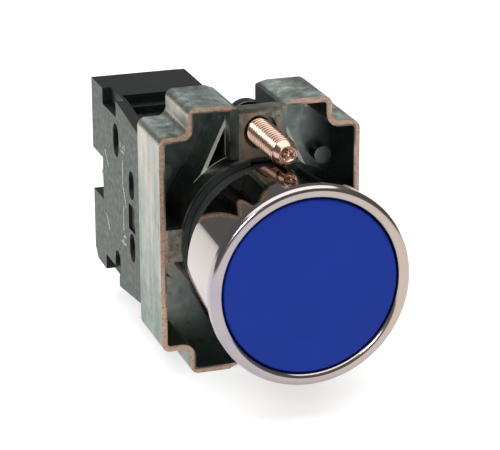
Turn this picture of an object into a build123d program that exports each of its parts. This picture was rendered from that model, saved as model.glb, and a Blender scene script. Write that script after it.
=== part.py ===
"""Momentary push button for an electrical panel, in millimetres.

+Z is up, the front looks towards -Y. The origin is on the button's axis, in the plane of the
panel's front face, where the gasket ends.
"""

import os
from math import cos, radians, sin

from build123d import *

# ---- panel, barrel and gasket ----
barrel_r = 11.0
barrel_wall = 1.6
barrel_back = 1.6
flange_step = 2.1
web_y = 2.6
web_t = 1.4
flange_t = 3.2
lug_h = 0.45
lug_w = 3.2
lug_l = 1.4
lug_back = 0.4
lug_count = 3
gasket_t = 1.2
# ---- bezel and cap ----
bezel_l = 13.4
bezel_flare = 0.85
bezel_wall = 0.4
bezel_lip = 1.79
lip_l = 1.7
lip_step = 0.12
lip_round = 0.75
cap_gap = 0.15
cap_recess = 0.3
cap_t = 2.4
cap_stop_gap = 1.0
cap_skirt_t = 1.3
cap_round = 0.4
socket_wall = 1.3
travel = 4.3
# ---- plunger and its rings ----
running_gap = 0.06
rest_gap = 0.35
stem_r = 5.2
spigot_r = 2.6
seat_step = 2.2
seat_back = 1.2
seat_t = 1.5
pusher_l = 6.0
seal_wire_r = 0.66
seal_back = 3.2
ring_t = 1.0
ring_step = 2.2
ring_depth = 0.6
ring_split = 3.0
return_wire_r = 0.4
return_turns = 5
return_gap = 0.8
# ---- mounting body ----
body_front_y = 7.0
body_depth = 12.0
side_l = 3.0
ear_step_x = 4.25
ear_step_z = 3.9
body_wall = 0.85
floor_t = 2.0
corner_r = 1.3
back_round = 1.17
dip_gap = 0.2
dip_h = 0.8
dip_slope = 1.7
collar_front = 0.7
collar_wall = 0.88
collar_gap = 0.12
lug_gap = 0.12
plate_t = 2.2
boss_wall = 1.0
boss_floor = 0.35
boss_gap = 0.35
ear_over = 4.3
boss_back = 1.0
rib_t = 0.5
rib_front = 3.4
rib_top_drop = 3.0
rib_angle = 44.3
side_rib_h = 4.8
post_r = 1.3
post_side = 2.8
post_z = 8.7
post_l = 2.4
# ---- clamp screws ----
clamp_r = 1.95
thread_depth = 0.3
thread_pitch = 0.7
thread_gap = 0.05
clamp_reach = 11.5
clamp_tip_taper = 1.4
clamp_point_r = 1.3
clamp_cup_r = 0.85
clamp_head_rim = 1.05
clamp_head_t = 2.0
clamp_head_back = 5.3
clamp_hub_rim = 0.75
clamp_hub_l = 1.4
clamp_mouth_rim = 0.55
clamp_mouth_l = 0.9
slot_w = 0.8
slot_d = 0.9
# ---- contact block ----
block_half_w = 7.55
block_side = 0.4
block_slope_h = 1.6
block_slope_l = 11.6
block_corner = 1.6
cover_t = 1.2
notch_z = 3.4
notch_d = 5.9
recess_d = 2.5
recess_l = 15.2
recess_wall = 1.8
ledge_d = 1.4
ledge_l = 2.0
wire_slot_back = 6.6
wire_slot_l = 7.7
wire_slot_d = 1.3
marks = ((12.7, 8.6, 3.0, 5.2), (4.4, 4.0, 2.8, 4.4), (4.4, -5.8, 2.8, 4.4), (13.0, -11.2, 3.0, 4.0))
mark_d = 2.2
window = (2.8, 3.4, -3.2, 4.0)
window_d = 0.4
room_front_t = 1.4
room_back_t = 1.4
room_side = 0.2
room_wall = 0.4
spring_room = 5.5
# ---- terminals ----
term_w = 7.8
strip_t = 1.0
strip_front = 6.0
strip_gap = 1.8
strip_foot = 2.2
strip_end = 1.6
bend_l = 5.2
chamber_side = 0.25
chamber_wall = 0.6
chamber_h = 4.5
chamber_low = 2.3
chamber_roof = 0.5
wire_gap = 4.6
mouth_side = 0.4
mouth_rect_l = 1.8
term_screw_r = 1.4
term_head_rim = 0.7
term_head_t = 2.4
term_head_gap = 0.3
term_head_back = 2.4
term_tip_l = 0.3
term_travel = 3.0
driver_rim = 0.6
term_room_gap = 0.3
saddle_t = 1.0
saddle_side = 0.4
saddle_h = 3.7
# ---- moving contact ----
tip_r = 0.9
tip_t = 0.4
bridge_w = 3.0
bridge_t = 0.6
contact_gap = 2.4
pin_r = 1.8
frame_half_x = 3.1
frame_half_z = 1.6
rail_t = 1.0
frame_front_t = 0.7
frame_front_gap = 0.5
frame_rear_gap = 0.3
frame_rear_t = 1.3
spring_pin_r = 1.3
spring_pin_gap = 1.1
contact_coil_r = 1.1
contact_wire_r = 0.2
contact_turns = 4
pin_coil_r = 2.2
pin_wire_r = 0.25
pin_turns = 6
soft_gap = 0.1
# ---- block fixing screw ----
fix_out = 0.85
fix_r = 1.25
fix_l = 8.2
fix_hole_l = 9.0
fix_head_r = 1.75
fix_head_t = 1.4
fix_dome = 1.0
fix_slot_w = 0.7
fix_slot_d = 1.1

os.makedirs("parts", exist_ok=True)

# ---- sizes that follow from the ones above ----
barrel_bore_r = barrel_r - barrel_wall
body_back_y = body_front_y + body_depth
barrel_end_y = body_back_y - barrel_back
bezel_rear_y = -gasket_t
bezel_front_y = bezel_rear_y - bezel_l
flange_front_y = bezel_rear_y - flange_t
flange_r = barrel_r + flange_step
bezel_rear_r = flange_r + bezel_wall
bezel_front_r = bezel_rear_r + bezel_flare
bezel_bore_r = bezel_front_r - bezel_lip
cap_r = bezel_bore_r - cap_gap
cap_front_y = bezel_front_y + cap_recess
cap_back_y = cap_front_y + cap_t
cap_rear_y = flange_front_y - travel - cap_stop_gap
cap_skirt_l = cap_rear_y - cap_back_y
web_rear_y = web_y + web_t
seat_r = stem_r + seat_step
seat_front_y = cap_rear_y + seat_back
seat_rear_y = seat_front_y + seat_t
return_mean_r = stem_r + return_gap + return_wire_r
pin_tip_y = body_back_y - travel
plunger_rear_y = pin_tip_y - rest_gap
pusher_front_y = plunger_rear_y - pusher_l
pusher_r = barrel_bore_r - running_gap
seal_y = plunger_rear_y - seal_back
ring_y = web_rear_y + rest_gap
ring_r = stem_r + ring_step
lug_y = barrel_end_y - lug_l - lug_back
collar_front_y = body_front_y - collar_front
collar_bore_r = barrel_r + collar_gap
collar_r = collar_bore_r + collar_wall
lug_room_r = barrel_r + lug_h + lug_gap
floor_y = body_back_y - floor_t
clamp_head_r = clamp_r + clamp_head_rim
clamp_hub_r = clamp_r + clamp_hub_rim
clamp_mouth_r = clamp_r + clamp_mouth_rim
dip_w = 2 * (clamp_head_r + dip_gap)
clamp_z = collar_r + boss_floor + boss_gap + clamp_head_r
ear_z = clamp_z + ear_over
body_h = 2 * ear_z
body_w = 2 * (collar_r + side_l)
ear_w = body_w - 2 * ear_step_x
shoulder_h = body_h - 2 * ear_step_z
corner = min(corner_r, 0.49 * min(ear_step_x, ear_step_z))
back_edge = min(back_round, 0.9 * corner)
rib_foot_x = (collar_r - rib_t / 2) * sin(radians(rib_angle))
rib_foot_z = (collar_r - rib_t / 2) * cos(radians(rib_angle))
groove_y = body_front_y + plate_t
boss_out = dip_w / 2 + boss_wall
rib_front_y = body_front_y + rib_front
post_x = body_w / 2 - post_side
clamp_tip_y = body_front_y - clamp_reach
clamp_head_y = body_front_y + clamp_head_back
clamp_hub_y = groove_y + clamp_hub_l
fix_x = collar_r + fix_out
room_x_half = term_w / 2 + room_side
block_x = -fix_x + fix_r + thread_gap + room_wall + room_x_half
block_left_x = -body_w / 2 + block_side
block_right_x = block_x + block_half_w
cover_x = block_right_x - cover_t
strip_in_z = frame_half_z + strip_gap
tip_z = strip_in_z + tip_r
bridge_half = tip_z + tip_r
bend_z = strip_in_z + strip_foot
room_z = bend_z + strip_t
chamber_z = room_z + chamber_wall
chamber_top_z = chamber_z + chamber_h
term_z = chamber_z + chamber_low
strip_z = term_z + strip_end
recess_z = chamber_top_z + chamber_roof
block_z = recess_z + recess_d
ledge_z = block_z - ledge_d
block_front_z = block_z - block_slope_h
room_front_y = body_back_y + room_front_t
frame_front_y = room_front_y + frame_front_gap
strip_y = body_back_y + strip_front
strip_rear_y = strip_y + strip_t
bend_y = strip_y + bend_l
strip_in_y = bend_y + strip_t
fixed_tip_y = bend_y - tip_t
bridge_tip_y = fixed_tip_y - contact_gap
bridge_rear_y = bridge_tip_y - tip_t
frame_rear_y = bridge_rear_y + frame_rear_gap
frame_end_y = frame_rear_y + frame_rear_t
spring_pin_l = spring_room - spring_pin_gap
room_rear_y = frame_end_y + travel + spring_room
notch_y = room_rear_y + room_back_t
block_rear_y = notch_y + notch_d
recess_y = body_back_y + recess_l
ledge_y = recess_y - ledge_l
wire_slot_y = block_rear_y - wire_slot_back - wire_slot_l
chamber_x_half = term_w / 2 + chamber_side
mouth_w = term_w - 2 * mouth_side
saddle_w = term_w - 2 * saddle_side
term_head_r = term_screw_r + term_head_rim
driver_r = term_screw_r + driver_rim
saddle_y = strip_rear_y + wire_gap
saddle_rear_y = saddle_y + saddle_t
term_tip_y = strip_y - term_tip_l
tip_room_y = term_tip_y - term_travel - 0.5
chamber_y = saddle_rear_y + term_head_t + term_head_back
fix_tip_y = body_back_y - fix_l
fix_hole_y = body_back_y - fix_hole_l


def across(y):
    """Sketch plane across the button's axis at y, drawn in X and Z."""
    return Plane.XZ.offset(-y)


def turned(points, x=0.0, z=0.0):
    """Solid of revolution about a line along Y through (x, z), from (radius, y) points."""
    with BuildPart(mode=Mode.PRIVATE) as solid:
        with BuildSketch(Plane(origin=(x, 0, z), x_dir=(1, 0, 0), z_dir=(0, 0, 1))):
            with BuildLine():
                Polyline(*points, close=True)
            make_face()
        revolve(axis=Axis((x, 0, z), (0, 1, 0)))
    return solid.part


def block(x0, x1, y0, y1, z0, z1):
    """Plain block between six limits."""
    centre = ((x0 + x1) / 2, (y0 + y1) / 2, (z0 + z1) / 2)
    return Pos(*centre) * Box(x1 - x0, y1 - y0, z1 - z0, mode=Mode.PRIVATE)


def rod(radius, y0, y1, x=0.0, z=0.0):
    """Round rod along Y."""
    return turned([(0, y0), (radius, y0), (radius, y1), (0, y1)], x, z)


def coil(mean_r, wire_r, turns, y0, y1, x=0.0):
    """Coil spring along Y between two seats, its wire just clear of both."""
    low = y0 + wire_r
    height = y1 - y0 - 2 * wire_r
    with BuildPart() as spring:
        with BuildLine() as path:
            Helix(height / turns, height, mean_r, center=(x, low, 0), direction=(0, 1, 0))
        with BuildSketch(Plane(origin=path.line @ 0, z_dir=path.line % 0)):
            Circle(wire_r)
        sweep(path=path.line, is_frenet=True)
    return spring.part


def thread_points(radius, y0, y1):
    """Zigzag (radius, y) outline of a fine thread between two stations."""
    count = int((y1 - y0) / thread_pitch)
    points = []
    for i in range(count):
        points.append((radius - thread_depth, y0 + i * thread_pitch))
        points.append((radius, y0 + (i + 0.35) * thread_pitch))
        points.append((radius, y0 + (i + 0.6) * thread_pitch))
    points.append((radius - thread_depth, y0 + count * thread_pitch))
    return points


def save(part, name):
    """Label a finished piece and write its STEP file."""
    part.label = name
    export_step(part, f"parts/{name}.step")


# ---- bezel: ring with a rounded lip, pressed over the barrel's flange ----
with BuildPart() as bezel:
    with BuildSketch(Plane.XY) as bezel_profile:
        with BuildLine():
            Polyline(
                (bezel_bore_r, bezel_front_y),
                (bezel_front_r, bezel_front_y),
                (bezel_front_r, bezel_front_y + lip_l),
                (bezel_front_r - lip_step, bezel_front_y + lip_l),
                (bezel_rear_r, bezel_rear_y),
                (flange_r, bezel_rear_y),
                (flange_r, flange_front_y),
                (bezel_bore_r, flange_front_y),
                close=True,
            )
        make_face()
        front_corners = bezel_profile.vertices().group_by(Axis.Y)[0]
        fillet(front_corners, lip_round)
    revolve(axis=Axis.Y)
save(bezel.part, "bezel")

# ---- barrel: sleeve with flange, inner web and bayonet lugs ----
with BuildPart() as barrel:
    add(
        turned(
            [
                (barrel_bore_r, flange_front_y),
                (flange_r, flange_front_y),
                (flange_r, bezel_rear_y),
                (barrel_r, bezel_rear_y),
                (barrel_r, barrel_end_y),
                (barrel_bore_r, barrel_end_y),
                (barrel_bore_r, web_rear_y),
                (stem_r + running_gap, web_rear_y),
                (stem_r + running_gap, web_y),
                (barrel_bore_r, web_y),
            ]
        )
    )
    with BuildSketch(across(lug_y)):
        with PolarLocations(barrel_r, lug_count, start_angle=30):
            Rectangle(2 * lug_h, lug_w)
    extrude(amount=-lug_l)
save(barrel.part, "barrel")

# ---- gasket ----
with BuildPart() as panel_gasket:
    with BuildSketch(across(-gasket_t)):
        Circle(flange_r)
        Circle(barrel_r, mode=Mode.SUBTRACT)
    extrude(amount=-gasket_t)
save(panel_gasket.part, "panel_gasket")

# ---- cap: round face, skirt and a socket for the plunger's spigot ----
with BuildPart() as button_cap:
    with BuildSketch(across(cap_front_y)):
        Circle(cap_r)
    extrude(amount=-(cap_t + cap_skirt_l))
    fillet(button_cap.edges().group_by(Axis.Y)[0], cap_round)
    with BuildSketch(across(cap_back_y)):
        Circle(cap_r - cap_skirt_t)
        Circle(spigot_r + socket_wall, mode=Mode.SUBTRACT)
    extrude(amount=-cap_skirt_l, mode=Mode.SUBTRACT)
    with BuildSketch(across(cap_back_y)):
        Circle(spigot_r)
    extrude(amount=-cap_skirt_l, mode=Mode.SUBTRACT)
save(button_cap.part, "button_cap")

# ---- plunger: spigot, spring seat, stem and pusher ----
with BuildPart() as plunger:
    add(
        turned(
            [
                (0, cap_back_y),
                (spigot_r, cap_back_y),
                (spigot_r, cap_rear_y),
                (stem_r, cap_rear_y),
                (stem_r, seat_front_y),
                (seat_r, seat_front_y),
                (seat_r, seat_rear_y),
                (stem_r, seat_rear_y),
                (stem_r, ring_y),
                (stem_r - ring_depth, ring_y),
                (stem_r - ring_depth, ring_y + ring_t),
                (stem_r, ring_y + ring_t),
                (stem_r, pusher_front_y),
                (pusher_r, pusher_front_y),
                (pusher_r, seal_y - seal_wire_r),
                (pusher_r - 2 * seal_wire_r, seal_y - seal_wire_r),
                (pusher_r - 2 * seal_wire_r, seal_y + seal_wire_r),
                (pusher_r, seal_y + seal_wire_r),
                (pusher_r, plunger_rear_y),
                (0, plunger_rear_y),
            ]
        )
    )
save(plunger.part, "plunger")

with BuildPart() as plunger_seal:
    with BuildSketch(Plane.XY):
        with Locations((pusher_r - seal_wire_r, seal_y)):
            Circle(seal_wire_r)
    revolve(axis=Axis.Y)
save(plunger_seal.part, "plunger_seal")

with BuildPart() as retaining_ring:
    with BuildSketch(across(ring_y)):
        Circle(ring_r)
        Circle(stem_r - ring_depth, mode=Mode.SUBTRACT)
        with Locations((0, -ring_r)):
            Rectangle(ring_split, 2 * (ring_r - stem_r + 2 * ring_depth), mode=Mode.SUBTRACT)
    extrude(amount=-ring_t)
save(retaining_ring.part, "retaining_ring")

return_spring = coil(return_mean_r, return_wire_r, return_turns, seat_rear_y, web_y)
save(return_spring, "return_spring")

# ---- mounting body: open shell with ears, collar, bosses and ribs ----
with BuildSketch(across(body_front_y)) as outline:
    Rectangle(body_w, shoulder_h)
    Rectangle(ear_w, body_h)
    fillet(outline.vertices(), corner)
with BuildSketch(across(body_front_y)) as inside:
    offset(outline.sketch, amount=-body_wall, kind=Kind.ARC)

with BuildPart() as envelope:
    extrude(outline.sketch, amount=body_back_y - body_front_y, dir=(0, 1, 0))
    fillet(envelope.edges().group_by(Axis.Y)[-1], back_edge)
    for side in (1, -1):
        with BuildSketch(across(body_front_y)):
            with BuildLine():
                Polyline(
                    (-dip_w / 2 - 1.25 * dip_slope, side * (ear_z + 0.25 * dip_h)),
                    (-dip_w / 2, side * (ear_z - dip_h)),
                    (dip_w / 2, side * (ear_z - dip_h)),
                    (dip_w / 2 + 1.25 * dip_slope, side * (ear_z + 0.25 * dip_h)),
                    close=True,
                )
            make_face()
        extrude(amount=-(body_back_y - body_front_y), mode=Mode.SUBTRACT)

with BuildPart() as web_work:
    for side in (1, -1):
        for hand in (1, -1):
            with BuildSketch(across(rib_front_y)):
                with BuildLine():
                    Polyline(
                        (hand * (boss_out - rib_t), side * (ear_z - rib_top_drop)),
                        (hand * boss_out, side * (ear_z - rib_top_drop)),
                        (hand * rib_foot_x, side * rib_foot_z),
                        (hand * (rib_foot_x - rib_t), side * (rib_foot_z - rib_t / 2)),
                        close=True,
                    )
                make_face()
            extrude(amount=-(body_back_y - rib_front_y))
            add(rod(post_r, floor_y - post_l, floor_y + 0.5, hand * post_x, side * post_z))
        wall_z = (collar_r - 0.4, ear_z - body_wall / 2)
        wall_low, wall_high = sorted((side * wall_z[0], side * wall_z[1]))
        add(block(-boss_out, boss_out, body_front_y + boss_back, body_back_y - 0.2, wall_low, wall_high))
        plate_low, plate_high = sorted((side * wall_z[0], side * (ear_z - dip_h)))
        add(block(-dip_w / 2, dip_w / 2, body_front_y, groove_y, plate_low, plate_high))
    for hand in (1, -1):
        reach = sorted((hand * (collar_bore_r + 0.2), hand * (body_w / 2 - body_wall / 2)))
        add(block(*reach, body_front_y, body_back_y - 0.2, -side_rib_h / 2, side_rib_h / 2))

with BuildPart() as mounting_body:
    add(envelope.part)
    extrude(inside.sketch, amount=floor_y - body_front_y, dir=(0, 1, 0), mode=Mode.SUBTRACT)
    add(web_work.part)
    add(envelope.part, mode=Mode.INTERSECT)
    for side in (1, -1):
        groove_low, groove_high = sorted((side * (collar_r + boss_floor), side * ear_z * 1.1))
        add(
            block(-dip_w / 2, dip_w / 2, groove_y, body_back_y + 1, groove_low, groove_high),
            mode=Mode.SUBTRACT,
        )
        add(rod(clamp_hub_r, groove_y - 0.5, clamp_hub_y, 0, side * clamp_z))
    add(
        turned(
            [
                (collar_bore_r, collar_front_y),
                (collar_r, collar_front_y),
                (collar_r, body_back_y),
                (collar_bore_r, body_back_y),
            ]
        )
    )
    add(rod(collar_bore_r, collar_front_y, body_back_y), mode=Mode.SUBTRACT)
    add(rod(lug_room_r, lug_y - lug_gap, lug_y + lug_l + lug_gap), mode=Mode.SUBTRACT)
    with BuildSketch(across(collar_front_y)):
        with PolarLocations(barrel_r, lug_count, start_angle=90):
            Rectangle(2 * (lug_h + lug_gap), lug_w + 2 * lug_gap)
    extrude(amount=-(lug_y - collar_front_y), mode=Mode.SUBTRACT)
    for side in (1, -1):
        add(
            rod(clamp_r + thread_gap, body_front_y - 1, clamp_hub_y + 1, 0, side * clamp_z),
            mode=Mode.SUBTRACT,
        )
        add(
            rod(clamp_mouth_r, body_front_y - 1, body_front_y + clamp_mouth_l, 0, side * clamp_z),
            mode=Mode.SUBTRACT,
        )
    for hand in (1, -1):
        add(rod(fix_r + thread_gap, fix_hole_y, body_back_y + 1, hand * fix_x), mode=Mode.SUBTRACT)
save(mounting_body.part, "mounting_body")

# ---- clamp screws: cup point, fine thread, slotted head ----
shank_y = clamp_tip_y + clamp_tip_taper
clamp_profile = [
    (0, clamp_tip_y + clamp_cup_r),
    (clamp_cup_r, clamp_tip_y),
    (clamp_point_r, clamp_tip_y),
]
clamp_profile += thread_points(clamp_r, shank_y, clamp_head_y - 0.3)
clamp_profile += [
    (clamp_r - thread_depth, clamp_head_y),
    (clamp_head_r, clamp_head_y),
    (clamp_head_r, clamp_head_y + clamp_head_t),
    (0, clamp_head_y + clamp_head_t),
]
for side, clamp_name in ((1, "top_clamp_screw"), (-1, "bottom_clamp_screw")):
    with BuildPart() as clamp_screw:
        add(turned(clamp_profile, 0, side * clamp_z))
        head_end = clamp_head_y + clamp_head_t
        add(
            block(
                -clamp_head_r,
                clamp_head_r,
                head_end - slot_d,
                head_end + 1,
                side * clamp_z - slot_w / 2,
                side * clamp_z + slot_w / 2,
            ),
            mode=Mode.SUBTRACT,
        )
    save(clamp_screw.part, clamp_name)

# ---- contact block: housing and side cover ----
side_outline = [
    (body_back_y, -block_front_z),
    (body_back_y + block_slope_l, -block_z),
    (block_rear_y - block_corner, -block_z),
    (block_rear_y, -block_z + block_corner),
    (block_rear_y, block_z),
    (body_back_y + block_slope_l, block_z),
    (body_back_y, block_front_z),
]
x_low, x_high = block_x - chamber_x_half, block_x + chamber_x_half
strip_low, strip_high = block_x - term_w / 2, block_x + term_w / 2
notch = block(block_left_x - 1, block_right_x + 1, notch_y, block_rear_y + 1, -notch_z, notch_z)
with BuildPart() as contact_housing:
    with BuildSketch(Plane.YZ.offset(block_left_x)):
        with BuildLine():
            Polyline(*side_outline, close=True)
        make_face()
    extrude(amount=cover_x - block_left_x)
    add(notch, mode=Mode.SUBTRACT)
    add(
        block(block_x - room_x_half, cover_x + 1, room_front_y, room_rear_y, -room_z, room_z),
        mode=Mode.SUBTRACT,
    )
    add(rod(pin_r + running_gap, body_back_y - 1, room_front_y + 1, block_x), mode=Mode.SUBTRACT)
    for side in (1, -1):
        cuts = (
            (block_left_x + recess_wall, cover_x + 1, body_back_y - 1, ledge_y, recess_z, block_z + 1),
            (block_left_x + recess_wall, cover_x + 1, ledge_y - 1, recess_y, ledge_z, block_z + 1),
            (x_low, x_high, strip_y, chamber_y, chamber_z, chamber_top_z),
            (strip_low, strip_high, strip_y, strip_rear_y, room_z - 1, chamber_z + 1),
            (
                block_left_x - 1,
                block_left_x + wire_slot_d,
                wire_slot_y,
                wire_slot_y + wire_slot_l,
                recess_z,
                block_z + 1,
            ),
        )
        for x0, x1, y0, y1, z0, z1 in cuts:
            low, high = sorted((side * z0, side * z1))
            add(block(x0, x1, y0, y1, low, high), mode=Mode.SUBTRACT)
        mouth_y = strip_rear_y + mouth_rect_l
        with BuildSketch(Plane.XY.offset(side * (recess_z + 1))):
            with Locations((block_x, mouth_y)):
                Circle(mouth_w / 2)
            with Locations((block_x, mouth_y - mouth_rect_l / 2)):
                Rectangle(mouth_w, mouth_rect_l)
            with Locations((block_x, mouth_y - mouth_rect_l - mouth_w / 2)):
                Rectangle(mouth_w + 1, mouth_w, mode=Mode.SUBTRACT)
        extrude(amount=-side * 3, mode=Mode.SUBTRACT)
        head_room = rod(term_head_r + term_head_gap, saddle_y, chamber_y, block_x, side * term_z)
        add(head_room, mode=Mode.SUBTRACT)
        driver_way = rod(driver_r, chamber_y - 1, block_rear_y + 1, block_x, side * term_z)
        add(driver_way, mode=Mode.SUBTRACT)
        tip_room = rod(term_screw_r + term_room_gap, tip_room_y, strip_y + 1, block_x, side * term_z)
        add(tip_room, mode=Mode.SUBTRACT)
    for mark_back, mark_z, mark_w, mark_h in marks:
        with BuildSketch(Plane.YZ.offset(block_left_x)):
            with Locations((body_back_y + mark_back, mark_z)):
                SlotOverall(mark_h, mark_w, rotation=90)
        extrude(amount=mark_d, mode=Mode.SUBTRACT)
    window_y = body_back_y + window[0]
    window_z = window[2]
    add(
        block(
            block_left_x - 1,
            block_left_x + window_d,
            window_y,
            window_y + window[1],
            window_z,
            window_z + window[3],
        ),
        mode=Mode.SUBTRACT,
    )
    add(rod(fix_r + thread_gap, body_back_y - 1, notch_y + 1, -fix_x), mode=Mode.SUBTRACT)
save(contact_housing.part, "contact_housing")

with BuildPart() as contact_cover:
    with BuildSketch(Plane.YZ.offset(cover_x)):
        with BuildLine():
            Polyline(*side_outline, close=True)
        make_face()
    extrude(amount=cover_t)
    add(notch, mode=Mode.SUBTRACT)
    for side in (1, -1):
        low, high = sorted((side * recess_z, side * (block_z + 1)))
        recess = block(cover_x - 1, block_right_x + 1, body_back_y - 1, recess_y, low, high)
        add(recess, mode=Mode.SUBTRACT)
save(contact_cover.part, "contact_cover")

# ---- block fixing screw, domed head in the rear notch ----
with BuildPart() as block_fixing_screw:
    add(
        turned(
            [
                (0, fix_tip_y),
                (fix_r - 0.4, fix_tip_y),
                (fix_r, fix_tip_y + 0.5),
                (fix_r, notch_y),
                (fix_head_r, notch_y),
                (fix_head_r, notch_y + fix_head_t),
                (fix_head_r - 0.35, notch_y + fix_head_t + 0.6 * fix_dome),
                (fix_head_r / 2, notch_y + fix_head_t + 0.9 * fix_dome),
                (0, notch_y + fix_head_t + fix_dome),
            ],
            -fix_x,
        )
    )
    dome_end = notch_y + fix_head_t + fix_dome
    add(
        block(
            -fix_x - fix_head_r,
            -fix_x + fix_head_r,
            dome_end - fix_slot_d,
            dome_end + 1,
            -fix_slot_w / 2,
            fix_slot_w / 2,
        ),
        mode=Mode.SUBTRACT,
    )
save(block_fixing_screw.part, "block_fixing_screw")

# ---- terminals with their screws and wire clamps, above and below ----
for side, place in ((1, "top"), (-1, "bottom")):
    with BuildPart() as terminal:
        with BuildSketch(Plane.YZ.offset(block_x - term_w / 2)):
            with BuildLine():
                Polyline(
                    (strip_y, side * strip_z),
                    (strip_rear_y, side * strip_z),
                    (strip_rear_y, side * (bend_z + strip_t)),
                    (strip_in_y, side * (bend_z + strip_t)),
                    (strip_in_y, side * strip_in_z),
                    (bend_y, side * strip_in_z),
                    (bend_y, side * bend_z),
                    (strip_y, side * bend_z),
                    close=True,
                )
            make_face()
        extrude(amount=term_w)
        screw_hole = rod(term_screw_r + thread_gap, strip_y - 1, strip_y + 2, block_x, side * term_z)
        add(screw_hole, mode=Mode.SUBTRACT)
        add(rod(tip_r, fixed_tip_y, bend_y + 0.1, block_x, side * tip_z))
    save(terminal.part, f"{place}_terminal")

    with BuildPart() as saddle:
        z_mid = side * term_z
        add(
            block(
                block_x - saddle_w / 2,
                block_x + saddle_w / 2,
                saddle_y,
                saddle_rear_y,
                z_mid - saddle_h / 2,
                z_mid + saddle_h / 2,
            )
        )
        add(rod(term_screw_r, saddle_y - 1, saddle_rear_y + 1, block_x, z_mid), mode=Mode.SUBTRACT)
    save(saddle.part, f"{place}_wire_clamp")

    with BuildPart() as term_screw:
        head_rear = saddle_rear_y + term_head_t
        add(
            turned(
                [
                    (0, term_tip_y),
                    (term_screw_r - 0.4, term_tip_y),
                    (term_screw_r, term_tip_y + 0.4),
                    (term_screw_r, saddle_rear_y),
                    (term_head_r, saddle_rear_y),
                    (term_head_r, head_rear),
                    (0, head_rear),
                ],
                block_x,
                side * term_z,
            )
        )
        add(
            block(
                block_x - term_head_r,
                block_x + term_head_r,
                head_rear - slot_d,
                head_rear + 1,
                side * term_z - slot_w / 2,
                side * term_z + slot_w / 2,
            ),
            mode=Mode.SUBTRACT,
        )
    save(term_screw.part, f"{place}_terminal_screw")

# ---- moving contact: pin with its carrier frame, bridge and springs ----
with BuildPart() as contact_plunger:
    add(rod(pin_r, pin_tip_y, frame_front_y + 0.1, block_x))
    add(
        block(
            block_x - frame_half_x,
            block_x + frame_half_x,
            frame_front_y,
            frame_end_y,
            -frame_half_z,
            frame_half_z,
        )
    )
    inner_x = frame_half_x - rail_t
    add(
        block(
            block_x - inner_x,
            block_x + inner_x,
            frame_front_y + frame_front_t,
            frame_rear_y,
            -frame_half_z,
            frame_half_z,
        ),
        mode=Mode.SUBTRACT,
    )
    add(rod(spring_pin_r, frame_end_y - 0.1, frame_end_y + spring_pin_l, block_x))
save(contact_plunger.part, "contact_plunger")

with BuildPart() as contact_bridge:
    add(
        block(
            block_x - bridge_w / 2,
            block_x + bridge_w / 2,
            bridge_rear_y - bridge_t,
            bridge_rear_y,
            -bridge_half,
            bridge_half,
        )
    )
    for side in (1, -1):
        add(rod(tip_r, bridge_rear_y - 0.1, bridge_tip_y, block_x, side * tip_z))
save(contact_bridge.part, "contact_bridge")

spring_front = frame_front_y + frame_front_t + soft_gap
spring_back = bridge_rear_y - bridge_t - soft_gap
contact_spring = coil(contact_coil_r, contact_wire_r, contact_turns, spring_front, spring_back, block_x)
save(contact_spring, "contact_spring")

plunger_spring = coil(
    pin_coil_r, pin_wire_r, pin_turns, frame_end_y + soft_gap, room_rear_y - soft_gap, block_x
)
save(plunger_spring, "plunger_spring")
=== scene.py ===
"""Looks of a momentary panel push button: bright bezel, blue cap, die-cast body, contact block."""

import logging
import math
from dataclasses import dataclass, field
from enum import Enum
from typing import Iterable, Sequence

import bmesh
import bpy
from mathutils import Matrix, Vector


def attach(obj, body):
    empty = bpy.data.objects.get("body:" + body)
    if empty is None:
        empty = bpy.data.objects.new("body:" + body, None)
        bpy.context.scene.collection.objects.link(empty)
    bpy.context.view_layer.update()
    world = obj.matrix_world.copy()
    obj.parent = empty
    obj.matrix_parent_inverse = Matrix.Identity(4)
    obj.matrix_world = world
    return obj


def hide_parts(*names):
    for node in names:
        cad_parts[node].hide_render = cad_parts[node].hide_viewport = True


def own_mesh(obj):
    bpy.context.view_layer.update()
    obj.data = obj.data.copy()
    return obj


LOG = logging.getLogger("push_button")
MM = 0.001
SHARP_FOLD = math.radians(32)

Point = tuple[float, float]
Colour = tuple[float, float, float]


class End(Enum):
    """The two ends of the mounting body, each with its own clamp screw."""

    UPPER = ("upper", "top", 1)
    LOWER = ("lower", "bottom", -1)

    def __init__(self, word: str, node: str, sign: int) -> None:
        """Keeps the words and the sign that go with the end.

        Args:
            word: The word in the names of its pieces.
            node: The word in the names of its nodes and bodies.
            sign: The sign of its Z.
        """
        self.word = word
        self.node = node
        self.sign = sign


# --------------------------------------------------------------------------- mesh tools


def lathe(outline: Sequence[Point], centre: Point = (0.0, 0.0), steps: int = 128) -> bmesh.types.BMesh:
    """Turns a closed outline about a line along Y.

    Args:
        outline: Corners as (radius, y), in millimetres, in order round the section.
        centre: The line's (x, z), in millimetres.
        steps: Facets round the turn.

    Returns:
        A closed mesh in metres.
    """
    bm = bmesh.new()
    x, z = centre
    verts = [bm.verts.new(((x + r) * MM, y * MM, z * MM)) for r, y in outline]
    edges = [bm.edges.new((verts[i], verts[(i + 1) % len(verts)])) for i in range(len(verts))]
    bmesh.ops.spin(
        bm,
        geom=verts + edges,
        cent=(x * MM, 0, z * MM),
        axis=(0, 1, 0),
        angle=math.tau,
        steps=steps,
        use_merge=True,
    )
    bmesh.ops.remove_doubles(bm, verts=bm.verts, dist=1e-7)
    bmesh.ops.dissolve_degenerate(bm, dist=1e-8, edges=bm.edges)
    bmesh.ops.recalc_face_normals(bm, faces=bm.faces)
    return bm


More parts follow.
